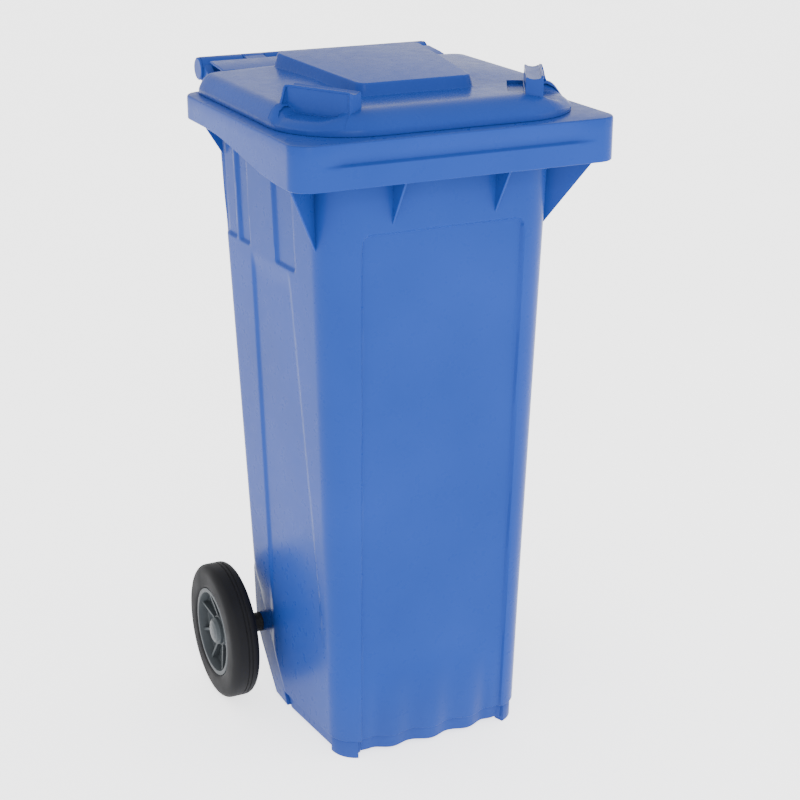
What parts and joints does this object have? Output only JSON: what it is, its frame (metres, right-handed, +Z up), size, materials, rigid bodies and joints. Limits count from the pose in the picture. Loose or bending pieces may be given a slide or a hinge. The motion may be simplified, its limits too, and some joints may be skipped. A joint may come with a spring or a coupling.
{
  "type": "two-wheeled wheelie bin",
  "caption": "Tapered blue waste bin with a deep front rim, hinged domed lid with corner grips, rear handle tube, and rubber-tyred wheels on a steel axle",
  "frame": {"origin": "on the ground under the centre of the whole bin's box", "axes": "+Z up, -Y towards the front of the bin, +X to the right of someone facing the front of the bin"},
  "size_m": [0.468, 0.483, 0.941],
  "materials": {
    "body_plastic": "satin moulded polyethylene, blue",
    "lid_plastic": "satin moulded polyethylene, blue",
    "pin_plastic": "moulded pin, blue",
    "axle_steel": "zinc plated solid bar",
    "sleeve_plastic": "black moulded tube",
    "washer_plastic": "black nylon washer",
    "hub_plastic": "dark grey moulded hub",
    "tyre_rubber": "solid black rubber",
    "nut_steel": "spring steel push nut",
    "cap_plastic": "dark grey cap"
  },
  "bodies": {
    "base": {"bin_body": "body_plastic", "axle": "axle_steel", "axle_sleeve_left": "sleeve_plastic", "axle_sleeve_right": "sleeve_plastic", "hinge_pin_left": "pin_plastic", "hinge_pin_right": "pin_plastic", "thrust_washer_left": "washer_plastic", "thrust_washer_right": "washer_plastic", "push_nut_left": "nut_steel", "push_nut_right": "nut_steel"},
    "lid": {"lid": "lid_plastic"},
    "wheel_left": {"tyre_left": "tyre_rubber", "wheel_hub_left": "hub_plastic", "hub_cap_left": "cap_plastic"},
    "wheel_right": {"tyre_right": "tyre_rubber", "wheel_hub_right": "hub_plastic", "hub_cap_right": "cap_plastic"}
  },
  "joints": [
    {"name": "lid_hinge", "type": "hinge", "parent": "base", "child": "lid", "pos_m": [0, 0.2255, 0.906], "axis": [-1, 0, 0], "range_deg": [0, 270]},
    {"name": "wheel_left_spin", "type": "hinge", "parent": "base", "child": "wheel_left", "pos_m": [-0.213, 0.0995, 0.1], "axis": [1, 0, 0], "continuous": true},
    {"name": "wheel_right_spin", "type": "hinge", "parent": "base", "child": "wheel_right", "pos_m": [0.213, 0.0995, 0.1], "axis": [1, 0, 0], "continuous": true}
  ]
}
